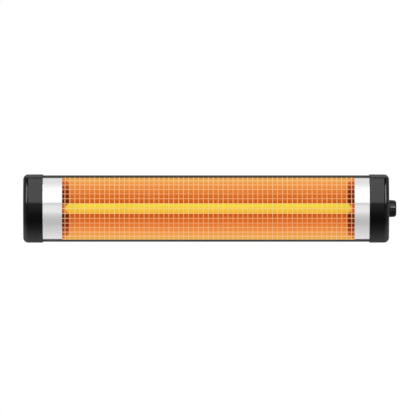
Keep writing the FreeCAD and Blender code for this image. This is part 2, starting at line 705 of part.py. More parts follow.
def make_reflector_end(name, side, trough, passage):
    """Sheet that closes one end of the trough: a lip on the bulkhead, a strip, a leaning part and a wall."""
    def inward(distance):
        return f"Derived.plate_{name} - {side} * ({distance})"

    outer = inward("Dims.weld_gap")
    inner = inward("Dims.weld_gap + Dims.reflector_wall")
    front = "-Derived.end_front"
    back = "-Derived.end_back"
    bottom = "-Dims.reflector_vertex"
    tip = "-Derived.end_front - Dims.end_lip"
    panel = bent_sheet([
        (outer, front),
        (inward("Dims.end_strip"), front),
        (inward("Derived.end_foot"), "Dims.end_ramp - Derived.end_front"),
        (inward("Derived.end_foot"), bottom),
        (inward("Derived.end_foot - Dims.reflector_wall"), bottom),
        (inward("Derived.end_foot - Dims.reflector_wall"),
         "Dims.end_ramp + Derived.end_rear_fold - Derived.end_front"),
        (inward("Dims.end_strip - Derived.end_front_fold"), back),
        (outer, back),
    ], "Derived.trough_half")
    lip = bent_sheet([(outer, tip), (inner, tip), (inner, back), (outer, back)], "Dims.end_lip_height / 2")
    item = doc.addObject("Part::Feature", name + "_reflector_end")
    item.Shape = panel.common(trough).fuse(lip).cut(passage).removeSplitter()
    keep(name + "_reflector_end", item)


def make_reflector_ends():
    """Both ends of the trough, trimmed to its polished face and cut out for the tube."""
    start = Vector(-value("Derived.half_span"), 0, 0)
    span = Vector(value("Dims.body_span"), 0, 0)
    rim = trough_curve(value("Derived.trough_half"), -value("Dims.slot_gap"))
    section = Part.Face(Part.Wire([rim.toShape(), Part.makeLine(rim.EndPoint, rim.StartPoint)]))
    trough = section.extrude(span).translated(start)
    axis_start = start - Vector(0, value("Derived.tube_axis"), 0)
    opening = value("Dims.tube_diameter + Dims.tube_slack") / 2
    passage = Part.makeCylinder(opening, span.Length, axis_start, span)
    for name, side in SIDES:
        make_reflector_end(name, side, trough, passage)


def make_tube():
    """Quartz tube, open at both ends inside its sockets."""
    body = new_body("quartz_tube")
    place(body, "Derived.socket_left - Dims.tube_reach", "-Derived.tube_axis")
    section = new_sketch(body, "YZ_Plane")
    add_circle(section, "0", "0", "Dims.tube_diameter")
    add_circle(section, "0", "0", "Dims.tube_diameter - 2 * Dims.tube_wall")
    pad(body, section, "Derived.socket_right - Derived.socket_left + 2 * Dims.tube_reach")
    keep("quartz_tube", body)


def biarc(start, start_way, finish, finish_way):
    """Two arcs that join two points and keep the direction at each of them."""
    chord = finish - start
    both = start_way + finish_way
    lean = 2 * (1 - start_way.dot(finish_way))
    along = chord.dot(both)
    reach = (math.sqrt(along * along + lean * chord.dot(chord)) - along) / lean
    joint = (start + start_way * reach + finish - finish_way * reach) * 0.5
    arcs = []
    for first, corner, last in (
        (start, start + start_way * reach, joint),
        (joint, finish - finish_way * reach, finish),
    ):
        middle = (first + last) * 0.5
        half_angle = (corner - first).getAngle(last - first)
        rise = math.tan(half_angle / 2) / math.tan(half_angle)
        arcs.append(Part.Arc(first, middle + (corner - middle) * rise, last).toShape())
    return arcs


def least_turn_gap(points, wire, apart):
    """Smallest clear distance between stretches of the coil that lie some points apart along it."""
    least = min(
        points[near_one].distanceToPoint(points[far_one])
        for near_one in range(len(points))
        for far_one in range(near_one + apart, len(points))
    )
    return least - wire


def make_coil():
    """Heating wire wound in one helix, each end turned straight on to its terminal disc."""
    radius = value("Derived.coil_radius")
    wire = value("Dims.coil_wire")
    turns = round(value("Dims.coil_turns"))
    bend = 2 * wire
    length = value("Derived.disc_right - Derived.disc_left")
    # Each end bend runs along the axis by its radius times the cosine of the helix's slope
    bend_run = bend
    for _ in range(3):
        rise = (length - 2 * (bend_run + wire)) / turns
        slope = math.atan2(rise, 2 * math.pi * radius)
        bend_run = bend * math.cos(slope)

    def helix(half_turns):
        angle = math.pi * half_turns
        point = Vector(
            wire + bend_run + rise * half_turns / 2, radius * math.cos(angle), radius * math.sin(angle))
        way = Vector(
            math.sin(slope), -math.cos(slope) * math.sin(angle), math.cos(slope) * math.cos(angle))
        return point, way

    def end_bend(point, way, outward):
        """Quarter bend from the helix to the axis direction, then one wire diameter straight."""
        axis = Vector(outward, 0, 0)
        heading = way * outward
        across = (heading - axis * heading.dot(axis)).normalize()
        turn = heading.getAngle(axis)
        centre = point + (axis * math.sin(turn) - across * math.cos(turn)) * bend
        last = centre + across * bend
        middle = centre + ((point - centre) + (last - centre)).normalize() * bend
        arc = Part.Arc(point, middle, last).toShape()
        return arc, Part.makeLine(last, last + axis * wire)

    edges = []
    for half_turn in range(2 * turns):
        edges += biarc(*helix(half_turn), *helix(half_turn + 1))
    edges += end_bend(*helix(0), -1) + end_bend(*helix(2 * turns), 1)
    route = Part.Wire(Part.__sortEdges__(edges))
    section = Part.Wire(Part.makeCircle(wire / 2, route.OrderedVertexes[0].Point, Vector(1, 0, 0)))
    item = doc.addObject("Part::Feature", "heating_coil")
    item.Shape = route.makePipeShell([section], True, False)
    place(item, "Derived.disc_left", "-Derived.tube_axis")
    points_per_turn = 24
    points = route.discretize(Number=points_per_turn * turns)
    least = least_turn_gap(points, wire, points_per_turn // 2)
    print(f"heating coil: least gap between turns {least:.2f} mm")
    keep("heating_coil", item)


def make_socket(name, side):
    """Flanged ceramic socket that carries one end of the tube."""
    bore = "Dims.tube_diameter / 2 + Dims.seat_gap"
    stop = f"{side} * (Dims.tube_reach + Dims.tube_slack / 2)"
    end = f"{side} * Dims.socket_length"
    flange = f"{side} * Dims.socket_flange"
    barrel = "Dims.socket_diameter / 2"
    rim = "Dims.socket_diameter / 2 + Dims.socket_rim"
    passage = "Dims.pin_diameter / 2 + Dims.tube_slack / 2"
    body = turned(name + "_socket", [
        ("0", bore), (stop, bore), (stop, passage), (end, passage),
        (end, barrel), (flange, barrel), (flange, rim), ("0", rim),
    ])
    place(body, f"Derived.socket_{name}", "-Derived.tube_axis")
    keep(name + "_socket", body)


def make_socket_clamp(name, side):
    """Clamp plate that holds the socket's flange against the bulkhead."""
    label = name + "_socket_clamp"
    body = new_body(label)
    place(body, f"Derived.socket_{name}", "-Derived.tube_axis")
    outline = new_sketch(body, "YZ_Plane")
    half_width = "Dims.socket_diameter / 2 + Dims.clamp_margin"
    half_height = "Dims.clamp_screw_level + Dims.clamp_margin"
    add_rectangle(outline, f"-({half_width})", f"-({half_height})", half_width, half_height)
    pad(body, outline, "Dims.clamp_thickness", backwards=side < 0)
    round_edges(body, runs_along_x, "Dims.clamp_corner")
    seat = new_sketch(body, "YZ_Plane")
    add_circle(seat, "0", "0", "Dims.socket_diameter + 2 * Dims.socket_rim + 2 * Dims.seat_gap")
    pocket(body, seat, "2 * (Dims.socket_flange + Dims.slot_gap)")
    through = new_sketch(body, "YZ_Plane")
    add_circle(through, "0", "0", "Dims.socket_diameter + 2 * Dims.seat_gap")
    for level in (-1, 1):
        add_circle(through, "0", f"{level} * Dims.clamp_screw_level", "Dims.screw_diameter + Dims.seat_gap")
    pocket(body, through)
    keep(label, body)


def make_terminal(name, side):
    """Terminal pin through the socket, with a disc for the coil inside and a collar outside."""
    disc = f"{side} * Dims.disc_inset"
    disc_back = f"{side} * (Dims.disc_inset + Dims.disc_thickness)"
    disc_rim = "Derived.coil_radius + Dims.coil_wire / 2 + Dims.slot_gap"
    collar = f"{side} * (Dims.socket_length + Dims.slot_gap)"
    collar_back = f"{side} * (Dims.socket_length + Dims.disc_thickness)"
    end = f"{side} * Dims.pin_reach"
    pin = "Dims.pin_diameter / 2"
    body = turned(name + "_terminal", [
        (disc, "0"), (disc, disc_rim), (disc_back, disc_rim), (disc_back, pin), (collar, pin),
        (collar, "Dims.pin_diameter"), (collar_back, "Dims.pin_diameter"), (collar_back, pin),
        (end, pin), (end, "0"),
    ])
    place(body, f"Derived.socket_{name}", "-Derived.tube_axis")
    keep(name + "_terminal", body)


def add_cross(sketch, u, v):
    """Cross-shaped outline of a screw's drive recess."""
    arm = "Dims.drive_span / 2"
    side = "Dims.drive_width / 2"
    corners = [
        (arm, side), (side, side), (side, arm), (f"-{side}", arm), (f"-{side}", side), (f"-{arm}", side),
        (f"-{arm}", f"-{side}"), (f"-{side}", f"-{side}"), (f"-{side}", f"-{arm}"), (side, f"-{arm}"),
        (side, f"-{side}"), (arm, f"-{side}"),
    ]
    add_outline(sketch, [(f"{u} + ({across})", f"{v} + ({up})") for across, up in corners])


def make_screws(label, role, seats, grip):
    """Pan-head screws in one node; each seat is a plane, a head direction and places on the plane."""
    body = new_body(label)
    for offset, heads_backwards, places in seats:
        for diameter, length, backwards in (
            ("2 * Dims.screw_diameter", "Dims.screw_head", heads_backwards),
            ("Dims.screw_diameter", grip, not heads_backwards),
        ):
            section = new_sketch(body, role, offset)
            for u, v in places:
                add_circle(section, u, v, diameter)
            pad(body, section, length, backwards)
        tops = new_sketch(body, role, f"{offset} + {-1 if heads_backwards else 1} * Dims.screw_head")
        for u, v in places:
            add_cross(tops, u, v)
        pocket(body, tops, "2 * Dims.drive_depth")
    keep(label, body)


def make_all_screws():
    both = (-1, 1)
    cap_places = [(f"{sign} * Derived.cap_screw_x", f"{level} * Dims.cap_screw_level")
                  for sign in both for level in both]
    make_screws("end_cap_screws", "XZ_Plane", [("-Derived.cap_offset", True, cap_places)],
                "Derived.cap_offset + Dims.housing_wall + Dims.screw_tip")
    foot_places = [(f"Derived.plate_screw_{name}", f"{level} * Dims.plate_screw_level")
                   for name, _ in SIDES for level in both]
    make_screws("bulkhead_screws", "XZ_Plane", [("0", True, foot_places)],
                "Derived.plate_gap + Dims.plate_wall + Dims.screw_tip")
    clamp_places = [("-Derived.tube_axis", f"{level} * Dims.clamp_screw_level") for level in both]
    make_screws("socket_screws", "YZ_Plane", [
        (f"Derived.socket_{name} + {side} * Dims.clamp_thickness", side < 0, clamp_places)
        for name, side in SIDES
    ], "Dims.clamp_thickness + Dims.plate_wall")


def make_mount_nuts():
    """Two round press-in nuts, flush with the flat back, for the wall bracket's bolts."""
    body = new_body("mount_nuts")
    shanks = new_sketch(body, "XZ_Plane")
    barrels = new_sketch(body, "XZ_Plane", "Dims.housing_wall")
    bores = new_sketch(body, "XZ_Plane")
    for sign in (-1, 1):
        where = f"{sign} * Dims.mount_spacing / 2"
        add_circle(shanks, where, "0", "Dims.nut_shank")
        add_circle(barrels, where, "0", "Dims.nut_shank + Dims.nut_flange")
        add_circle(bores, where, "0", "Dims.mount_bore")
    pad(body, shanks, "Dims.housing_wall")
    pad(body, barrels, "Dims.nut_length")
    pocket(body, bores)
    keep("mount_nuts", body)


def make_reflector_clips():
    """Angle clips inside the top and bottom walls that hold the reflector's flanges forward."""
    body = new_body("reflector_clips")
    section = new_sketch(body, "YZ_Plane", "Derived.window_centre - Dims.clip_spacing")
    front = "-(Derived.flange_front - Dims.reflector_wall - Dims.slot_gap)"
    inner = f"{front} + Dims.clip_wall"
    rear = f"{front} + Dims.clip_length"
    for sign in (-1, 1):
        outside = f"{sign} * (Derived.inner_half - Dims.slot_gap)"
        inside = f"{sign} * (Derived.inner_half - Dims.slot_gap - Dims.clip_wall)"
        foot = f"{sign} * (Derived.trough_half + 2 * Dims.clip_wall)"
        add_outline(section, [
            (front, foot), (front, outside), (rear, outside),
            (rear, inside), (inner, inside), (inner, foot),
        ])
    pad(body, section, "Dims.clip_width", both_ways=True)
    row = pattern(body, "LinearPattern", (section, ["N_Axis"]), "3")
    row.setExpression("Length", "2 * Dims.clip_spacing")
    keep("reflector_clips", body)


def make_grommet(name, side):
    """Rubber ring that lines the lead's hole in a bulkhead."""
    passage = "Dims.lead_diameter / 2 + 2 * Dims.hole_slack"
    groove = "Dims.grommet_groove / 2"
    rim = "Dims.grommet_groove / 2 + Dims.grommet_rim"
    inside = f"-{side} * Dims.slot_gap"
    inside_face = f"-{side} * (Dims.slot_gap + Dims.grommet_flange)"
    outside = f"{side} * (Dims.plate_wall + Dims.slot_gap)"
    outside_face = f"{side} * (Dims.plate_wall + Dims.slot_gap + Dims.grommet_flange)"
    body = turned(name + "_grommet", [
        (inside_face, passage), (outside_face, passage), (outside_face, rim), (outside, rim),
        (outside, groove), (inside, groove), (inside, rim), (inside_face, rim),
    ])
    place(body, f"Derived.plate_{name}", "-Dims.lead_depth", "Dims.lead_level")
    keep(name + "_grommet", body)


def rounded_route(points):
    """Straight runs joined by tangent arcs, each as large as its two runs allow."""
    corner_share = 0.45
    edges = []
    start = points[0]
    for before, corner, after in zip(points, points[1:], points[2:]):
        back = before - corner
        ahead = after - corner
        half_turn = (math.pi - back.getAngle(ahead)) / 2
        cut = corner_share * min(back.Length, ahead.Length)
        arc_start = corner + Vector(back).normalize() * cut
        arc_end = corner + Vector(ahead).normalize() * cut
        chord_middle = (arc_start + arc_end) * 0.5
        rise = math.tan(half_turn / 2) / math.tan(half_turn)
        edges.append(Part.makeLine(start, arc_start))
        arc_top = chord_middle + (corner - chord_middle) * rise
        edges.append(Part.Arc(arc_start, arc_top, arc_end).toShape())
        start = arc_end
    edges.append(Part.makeLine(start, points[-1]))
    return Part.Wire(edges)


def make_lead(label, route):
    """Insulated lead along a route of (x, y, z) expressions."""
    points = [Vector(*(value(part) for part in point)) for point in route]
    wire = rounded_route(points)
    radius = value("Dims.lead_diameter") / 2
    section = Part.Wire(Part.makeCircle(radius, points[0], points[1] - points[0]))
    item = doc.addObject("Part::Feature", label)
    item.Shape = wire.makePipeShell([section], True, False)
    keep(label, item)


def make_leads():
    """Inner wiring: element, cut-out, control and terminal block in one loop."""
    tube = "-Derived.tube_axis"
    block_x = "Derived.block_x"
    block_front = "-(Derived.plate_gap + Dims.block_depth)"
    pin_right = "Derived.socket_right + Dims.pin_reach"
    pin_left = "Derived.socket_left - Dims.pin_reach"
    back_run = ("-Dims.lead_depth", "Dims.lead_level")
    turn_left = f"{pin_left} - Dims.lead_turn"
    make_lead("long_lead", [
        (pin_left, tube, "0"),
        (turn_left, tube, "0"),
        (turn_left, *back_run),
        (f"{block_x} - Dims.block_entry", *back_run),
        (f"{block_x} - Dims.block_entry", "-Dims.lead_depth", "Dims.block_height / 2"),
    ])
    tab_x = "Derived.socket_right + Dims.cutout_length"
    cutout = "-Dims.cutout_depth"
    upper_tab = "-Dims.cutout_level + Dims.tab_spacing / 2"
    lower_tab = "-Dims.cutout_level - Dims.tab_spacing / 2"
    turn_right = f"{pin_right} + Dims.element_turn"
    make_lead("element_lead", [
        (pin_right, tube, "0"),
        (turn_right, tube, "0"),
        (turn_right, cutout, lower_tab),
        (tab_x, cutout, lower_tab),
    ])
    control_x = "Derived.control_tabs"
    control_y = "-Dims.knob_depth + Dims.tab_offset"
    make_lead("cutout_lead", [
        (tab_x, cutout, upper_tab),
        (f"{tab_x} + Dims.cutout_turn", cutout, upper_tab),
        (f"{tab_x} + Dims.cutout_turn", control_y, "-Dims.tab_spacing"),
        (control_x, control_y, "-Dims.tab_spacing"),
    ])
    make_lead("control_lead", [
        (control_x, control_y, "Dims.tab_spacing"),
        (f"{block_x} + Dims.block_entry", control_y, "Dims.tab_spacing"),
        (f"{block_x} + Dims.block_entry", block_front, "Dims.tab_spacing"),
    ])


def make_cutout():
    """Snap-disc thermal cut-out on the right bulkhead, with two blade tabs."""
    barrel = "Dims.cutout_diameter / 2"
    rim = "Dims.cutout_diameter / 2 + Dims.cutout_flange"
    neck = "Dims.cutout_diameter / 2 - Dims.cutout_flange"
    top = "Dims.cutout_length - Dims.tab_length"
    body = turned("thermal_cutout", [
        ("Dims.slot_gap", "0"), ("Dims.slot_gap", rim), ("Dims.cutout_flange", rim),
        ("Dims.cutout_flange", barrel), (f"({top}) / 2", barrel), (f"({top}) / 2", neck),
        (top, neck), (top, "0"),
    ])
    place(body, "Derived.socket_right", "-Dims.cutout_depth", "-Dims.cutout_level")
    tabs = new_sketch(body, "YZ_Plane", top)
    for sign in (-1, 1):
        low = f"{sign} * Dims.tab_spacing / 2 - Dims.tab_thickness / 2"
        high = f"{sign} * Dims.tab_spacing / 2 + Dims.tab_thickness / 2"
        add_rectangle(tabs, "-Dims.tab_width / 2", low, "Dims.tab_width / 2", high)
    pad(body, tabs, "Dims.tab_length")
    keep("thermal_cutout", body)


def make_terminal_block():
    """Terminal block on the back wall inside the right cap end of the housing."""
    body = new_body("terminal_block")
    place(body, "Derived.block_x", "-Dims.housing_wall - Dims.slot_gap")
    base = new_sketch(body, "YZ_Plane", "-Dims.block_length / 2")
    depth = "Dims.block_depth + Derived.plate_gap - Dims.housing_wall - Dims.slot_gap"
    add_rectangle(base, f"-({depth})", "-Dims.block_height / 2", "0", "Dims.block_height / 2")
    pad(body, base, "Dims.block_length")
    round_edges(body, lambda edge: runs_along_x(edge) and near(edge.CenterOfMass.y, f"-({depth})"),
                "Dims.block_round")
    wells = new_sketch(body, "XZ_Plane", depth)
    for row in (-1, 0, 1):
        add_circle(wells, "-Dims.block_entry", f"{row} * Dims.block_height / 3", "Dims.well_diameter")
    pocket(body, wells, "2 * Dims.well_depth")
    keep("terminal_block", body)


def make_control():
    """Rotary energy control held in the right cap by its threaded bush."""
    body = new_body("energy_control")
    place(body, "Derived.cap_end - Dims.cap_wall", "-Dims.knob_depth")
    case = new_sketch(body, "YZ_Plane")
    half = "Dims.control_width / 2"
    add_rectangle(case, f"-{half}", f"-{half}", half, half)
    pad(body, case, "Dims.control_length", backwards=True)
    round_edges(body, runs_along_x, "Dims.control_round")
    bush = new_sketch(body, "YZ_Plane")
    add_circle(bush, "0", "0", "Dims.bush_diameter")
    pad(body, bush, "Dims.cap_wall + 1.3 * Dims.nut_thickness")
    tabs = new_sketch(body, "YZ_Plane", "-Dims.control_length")
    for sign in (-1, 1):
        low = f"{sign} * Dims.tab_spacing - Dims.tab_width / 2"
        high = f"{sign} * Dims.tab_spacing + Dims.tab_width / 2"
        add_rectangle(tabs, "Dims.tab_offset - Dims.tab_thickness / 2", low,
                      "Dims.tab_offset + Dims.tab_thickness / 2", high)
    pad(body, tabs, "Dims.tab_length", backwards=True)
    bore = new_sketch(body, "YZ_Plane", "Dims.cap_wall")
    add_circle(bore, "0", "0", "Dims.spindle_diameter + Dims.hole_slack")
    pocket(body, bore, "2 * Dims.control_length")
    keep("energy_control", body)


def add_hexagon(sketch, across_flats):
    """Hexagon with two sides upright."""
    corner = f"{across_flats} / sqrt(3)"
    points = []
    for step in range(6):
        turn = f"{30 + 60 * step} deg"
        points.append((f"{corner} * cos({turn})", f"{corner} * sin({turn})"))
    add_outline(sketch, points)


def make_hex_nut(label, across_flats, thread):
    body = new_body(label)
    section = new_sketch(body, "YZ_Plane")
    add_hexagon(section, across_flats)
    add_circle(section, "0", "0", f"{thread} + Dims.hole_slack")
    pad(body, section, "Dims.nut_thickness")
    return body


def make_control_nut():
    body = make_hex_nut("control_nut", "Dims.control_nut_flats", "Dims.bush_diameter")
    place(body, "Derived.cap_end", "-Dims.knob_depth")
    keep("control_nut", body)


def turn_to_pointer(item):
    """Place a knob piece on the control axis with the pointer at its rest angle."""
    item.Placement.Rotation = FreeCAD.Rotation(Vector(1, 0, 0), -value("Dims.pointer_angle"))
    place(item, "Derived.cap_end + Dims.knob_gap", "-Dims.knob_depth")


def add_flatted_circle(sketch, diameter):
    """Round section with one flat towards +Y."""
    flat = f"{diameter} / 4"
    half_flat = f"{diameter} * sqrt(3) / 4"
    radius = f"{diameter} / 2"
    add_outline(sketch, [(flat, half_flat), (f"-{radius}", "0"), (flat, f"-({half_flat})")],
                {0: (radius, -1), 1: (radius, -1)})


def make_spindle():
    """Control spindle: round in the bush, flatted inside the knob."""
    body = new_body("control_spindle")
    turn_to_pointer(body)
    round_part = new_sketch(body, "YZ_Plane", "Dims.knob_recess")
    add_circle(round_part, "0", "0", "Dims.spindle_diameter")
    pad(body, round_part, "Derived.spindle_reach", backwards=True)
    flatted = new_sketch(body, "YZ_Plane", "Dims.knob_recess")
    add_flatted_circle(flatted, "Dims.spindle_diameter")
    pad(body, flatted, "Dims.knob_height - Dims.knob_crown - Dims.knob_recess")
    keep("control_spindle", body)


def make_knob():
    """Scalloped control knob, hollow underneath to cover the nut, with a slot for the pointer."""
    base = "Dims.knob_diameter / 2"
    top = "Dims.knob_diameter / 2 - Dims.knob_taper"
    shoulder = "Dims.knob_height - Dims.knob_round"
    body = turned("control_knob", [
        ("0", "Dims.knob_hollow / 2"), ("Dims.knob_recess", "Dims.knob_hollow / 2"),
        ("Dims.knob_recess", "0"), ("Dims.knob_height", "0"),
        ("Dims.knob_height", f"{top} - Dims.knob_round"), (shoulder, top), ("0", base),
    ], {4: ("Dims.knob_round", 1)})
    turn_to_pointer(body)
    socket = new_sketch(body, "YZ_Plane", "Dims.knob_recess")
    add_flatted_circle(socket, "(Dims.spindle_diameter + Dims.hole_slack)")
    pocket(body, socket, "2 * (Dims.knob_height - Dims.knob_crown + Dims.hole_slack - Dims.knob_recess)")
    slot = new_sketch(body, "XZ_Plane", base)
    add_rectangle(slot, "Dims.pointer_start", "-Dims.pointer_width / 2",
                  "Dims.pointer_start + Dims.pointer_length", "Dims.pointer_width / 2")
    pocket(body, slot, "2 * Dims.pointer_inset")
    scallop = new_sketch(body, "YZ_Plane", "Dims.knob_height")
    half_step = "180 deg / Dims.scallop_count"
    reach = f"({base} + Dims.scallop_radius - Dims.scallop_depth)"
    add_circle(scallop, f"-{reach} * cos({half_step})", f"{reach} * sin({half_step})",
               "2 * Dims.scallop_radius")
    pocket(body, scallop, "2 * (Dims.knob_height - Dims.scallop_start)")
    ring = pattern(body, "PolarPattern", (scallop, ["N_Axis"]), "Dims.scallop_count")
    ring.Angle = 360
    keep("control_knob", body)


def make_pointer():
    """Pale pointer bar let into the side of the knob."""
    body = new_body("knob_pointer")
    turn_to_pointer(body)
    slack = "Dims.hole_slack / 2"
    section = new_sketch(body, "XZ_Plane", f"Dims.knob_diameter / 2 - Dims.pointer_inset + {slack}")
    half_width = f"(Dims.pointer_width / 2 - {slack})"
    add_rectangle(section, f"Dims.pointer_start + {slack}", f"-{half_width}",
                  f"Dims.pointer_start + Dims.pointer_length - {slack}", half_width)
    pad(body, section, "Dims.pointer_inset - Dims.knob_taper / 2")
    keep("knob_pointer", body)


def turn_to_rear(item):
    """Turn a gland piece so that its own X axis points out of the back of the right cap."""
    item.Placement.Rotation = FreeCAD.Rotation(Vector(0, 0, 1), 90)


def make_gland():
    """Cable gland in the back of the right cap: flanged dome outside, threaded stub inside."""
    bore = "Dims.gland_bore / 2"
    stub = "Dims.gland_thread / 2"
    stub_end = "-(Dims.cap_wall + 1.3 * Dims.nut_thickness)"
    mouth = "Dims.gland_length"
    dome = f"{stub} + Dims.gland_flange / 2"
    rim = f"{stub} + Dims.gland_flange"
    body = turned("cable_gland", [
        (stub_end, bore), (mouth, bore), (mouth, f"{dome} - Dims.gland_dome"),
        (f"{mouth} - Dims.gland_dome", dome), ("Dims.gland_flange", dome), ("Dims.gland_flange", rim),
        ("0", rim), ("0", stub), (stub_end, stub),
    ], {2: ("Dims.gland_dome", 1)})
    turn_to_rear(body)
    place(body, "Derived.gland_x", "Derived.cap_offset", "-Dims.gland_level")
    keep("cable_gland", body)
    nut = make_hex_nut("gland_nut", "Dims.gland_nut_flats", "Dims.gland_thread")
    turn_to_rear(nut)
    inside = "Derived.cap_offset - Dims.cap_wall - Dims.nut_thickness"
    place(nut, "Derived.gland_x", inside, "-Dims.gland_level")
    keep("gland_nut", nut)


def check_and_write():
    """Stop at any failed object or bad shape, then write one file for each sub-part."""
    for item in doc.Objects:
        if "Invalid" in item.State or "Error" in item.State:
            raise RuntimeError(f"{item.Name} failed: {item.State}")
    for label, item in subparts.items():
        if item.Shape.isNull() or not item.Shape.isValid():
            raise RuntimeError(f"{label} has no valid shape")
    os.makedirs("parts", exist_ok=True)
    for label, item in subparts.items():
        item.Shape.exportStep(f"parts/{label}.step")
        print(f"{label}: {len(item.Shape.Solids)} solids, {item.Shape.Volume / 1000:.2f} cm3")


def build():
    make_housing()
    make_long_wires()
    make_cross_wires()
    make_reflector()
    make_reflector_ends()
    make_tube()
    make_coil()
    for name, side in SIDES:
        make_end_cap(name, side)
        make_trim_band(name, side)
        make_bulkhead(name, side)
        make_socket(name, side)
        make_socket_clamp(name, side)
        make_terminal(name, side)
        make_grommet(name, side)
    make_all_screws()
    make_mount_nuts()
    make_reflector_clips()
    make_cutout()
    make_terminal_block()
    make_leads()
    make_control()
    make_control_nut()
    make_spindle()
    make_knob()
    make_pointer()
    make_gland()
    doc.recompute()
    check_and_write()


build()
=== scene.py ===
"""Looks of a wall-hung infrared heater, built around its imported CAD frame, in metres."""

import json
import math

import bmesh
import bpy
from mathutils import Matrix, Vector


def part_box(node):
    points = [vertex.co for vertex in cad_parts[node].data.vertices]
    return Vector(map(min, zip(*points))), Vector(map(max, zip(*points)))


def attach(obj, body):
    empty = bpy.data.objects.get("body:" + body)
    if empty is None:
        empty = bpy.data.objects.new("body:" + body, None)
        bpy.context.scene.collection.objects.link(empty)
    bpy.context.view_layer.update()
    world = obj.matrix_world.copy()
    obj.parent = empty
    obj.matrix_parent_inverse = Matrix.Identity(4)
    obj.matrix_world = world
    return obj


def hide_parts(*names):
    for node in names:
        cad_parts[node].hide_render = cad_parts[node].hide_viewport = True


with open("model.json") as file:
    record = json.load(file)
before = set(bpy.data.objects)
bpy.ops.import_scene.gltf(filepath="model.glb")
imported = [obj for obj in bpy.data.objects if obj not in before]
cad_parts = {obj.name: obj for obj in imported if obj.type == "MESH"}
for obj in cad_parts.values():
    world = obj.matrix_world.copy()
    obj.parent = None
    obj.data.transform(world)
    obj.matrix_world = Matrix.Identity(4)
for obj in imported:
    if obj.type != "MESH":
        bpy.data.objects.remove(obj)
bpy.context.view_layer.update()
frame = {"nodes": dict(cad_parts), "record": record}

# The width that the photograph shows at the heater's plane, and the camera's place before it
PHOTO_WIDTH = 1.0026
HEATER_PLANE = -0.07
CAMERA_DISTANCE = 20.0
CAMERA_SIDE = 0.0045
CAMERA_HEIGHT = 0.0013
SENSOR_WIDTH = 36

# The floor below the heater, which fades to white between two distances from its middle
FLOOR_LEVEL = -0.7
FLOOR_HALF = 8.0
FADE_START = 1.5
FADE_END = 4.8

# The light that falls on surfaces from all round
FILL_STRENGTH = 0.7

# The soft box above and in front of the heater: where its lower and upper edges stand, in degrees.
# The caps are flatter than the bands, so their card starts lower to bring both lines to one height
BOX_EDGES = (14.5, 67)
BOX_CARD_EDGES = (11.4, 62)
BOX_DISTANCE = 3.7
BOX_WIDTH = 1.8
BOX_RADIANCE = 0.35
BOX_CARD_RADIANCE = 13.4
# The share of the box's height above which its light fades
BOX_FADE = 0.6
# A dim card below the box, which fades downwards from the box's lower edge
DIM_CARD_EDGES = (-12, 11.4)
DIM_CARD_DISTANCE = 3.0
DIM_CARD_RADIANCE = 2.6
# The box's dark lower rim, a sheet seen only in gloss as a painted dark reflection, which fades out
# downwards and shows in the bands as a grey line
RIM_EDGES = (6, 14.5)
RIM_DISTANCE = 3.9
RIM_DARKNESS = 0.30

# A tall strip light on each side
STRIP_BEARING = 44
STRIP_DISTANCE = 4.0
STRIP_HEIGHT = 1.9
STRIP_SIZE = (2.2, 2.4)
STRIP_RADIANCE = 4.0
STRIP_CARD_RADIANCE = 26.0

# Cards show in the gloss of the black mouldings alone. The bright ones stand just before their lamps,
# at this share of the distance
CARD_SHARE = 0.95
BLACK_NODES = ("left_end_cap", "right_end_cap", "control_knob")

# The heating coil, with a short straight run at each end
COIL_TURNS = 90
COIL_WIRE_RADIUS = 0.0006
COIL_END = 4 * COIL_WIRE_RADIUS
COIL_STEPS_PER_TURN = 24
WIRE_SIDES = 8

# The round of the end caps' outer edges. As shares of their half height: where the dust on top, which also
# lightens it as a painted sheen, begins and where it is full, and the level below which painted reflection
# greys it
CAP_ROUND = 0.0125
CAP_DUST_AND_SHEEN = (0.90, 0.93)
CAP_PAINTED_LOW_REFLECTION = -0.35

# The reflector's flat flange behind each lip, the soft edge of the painted shade under the upper lip, and
# the share of the painted glow that is left in that shade
REFLECTOR_FLANGE = 0.0047
SHADE_EDGE = 0.001
SHADE_GLOW = 0.05

# Half the height over which the colours of the trough's ends are spread
TROUGH_HALF = 0.075

# The scale of the leads' woven sleeve
WEAVE_SCALE = 420.0

# The crown that the grille's two layers of wire share, and the weld at each crossing
CROWN_CENTRE = 0.01115
CROWN_RADIUS = 0.10962
LONG_WIRE_RADIUS = 0.11035
LONG_WIRES = 13
CROSS_WIRES = 59
GRILLE_WIRE_RADIUS = 0.0007
WELD_WIDTH = 0.00105
WELD_THICKNESS = 0.0008

# The range that most values of a noise lie in
NOISE_LOW = 0.3
NOISE_HIGH = 0.7


